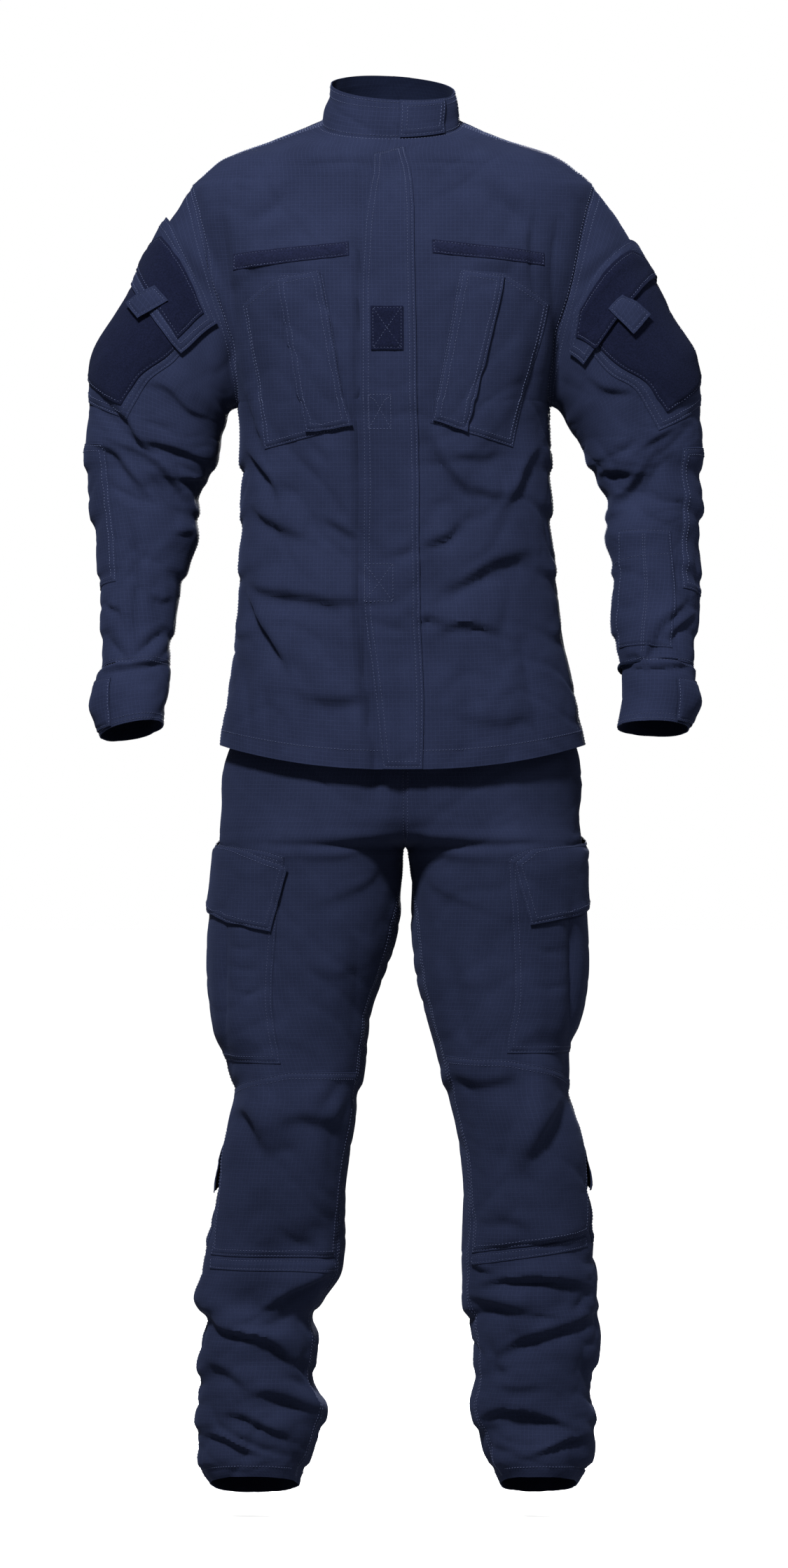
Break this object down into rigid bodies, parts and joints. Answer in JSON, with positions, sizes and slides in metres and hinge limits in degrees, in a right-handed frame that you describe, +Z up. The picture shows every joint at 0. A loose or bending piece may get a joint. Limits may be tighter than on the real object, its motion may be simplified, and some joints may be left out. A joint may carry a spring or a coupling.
{
  "type": "two-piece field uniform",
  "caption": "Navy field jacket with stand collar, fly front, chest and sleeve pockets, and cargo trousers with knee patches, hollow as worn.",
  "frame": {"origin": "where the wearer's shoulders carry the jacket, in the middle of the neck opening at the height of the neck seam", "axes": "+Z up, -Y the front of the garment, +X the wearer's left"},
  "size_m": [0.7414, 0.2685, 1.7111],
  "materials": {
    "ripstop": "matt woven cotton blend with a fine ripstop grid",
    "loop_tape": "fuzzy loop side of hook-and-loop tape"
  },
  "bodies": {
    "root": {"calf_flap_left": "ripstop", "calf_flap_right": "ripstop", "calf_pocket_left": "ripstop", "calf_pocket_right": "ripstop", "cargo_flap_left": "ripstop", "cargo_flap_right": "ripstop", "cargo_pocket_left": "ripstop", "cargo_pocket_right": "ripstop", "chest_flap_left": "ripstop", "chest_flap_right": "ripstop", "chest_pocket_left": "ripstop", "chest_pocket_right": "ripstop", "collar_tab": "ripstop", "cuff_left": "ripstop", "cuff_right": "ripstop", "cuff_tab_left": "ripstop", "cuff_tab_right": "ripstop", "elbow_patch_left": "ripstop", "elbow_patch_right": "ripstop", "flap_loop_left": "loop_tape", "flap_loop_right": "loop_tape", "front_placket": "ripstop", "jacket_back": "ripstop", "jacket_collar": "ripstop", "jacket_front_left": "ripstop", "jacket_front_right": "ripstop", "knee_patch_left": "ripstop", "knee_patch_right": "ripstop", "knee_strip_left": "ripstop", "knee_strip_right": "ripstop", "name_tape_left": "loop_tape", "name_tape_right": "loop_tape", "pen_pocket": "ripstop", "pull_tab_left": "ripstop", "pull_tab_right": "ripstop", "rank_tab": "loop_tape", "sleeve_flap_left": "ripstop", "sleeve_flap_right": "ripstop", "sleeve_left_back": "ripstop", "sleeve_left_front": "ripstop", "sleeve_loop_left": "loop_tape", "sleeve_loop_right": "loop_tape", "sleeve_pocket_left": "ripstop", "sleeve_pocket_right": "ripstop", "sleeve_right_back": "ripstop", "sleeve_right_front": "ripstop", "trouser_back_left": "ripstop", "trouser_back_right": "ripstop", "trouser_front_left": "ripstop", "trouser_front_right": "ripstop", "waistband": "ripstop"}
  },
  "joints": []
}
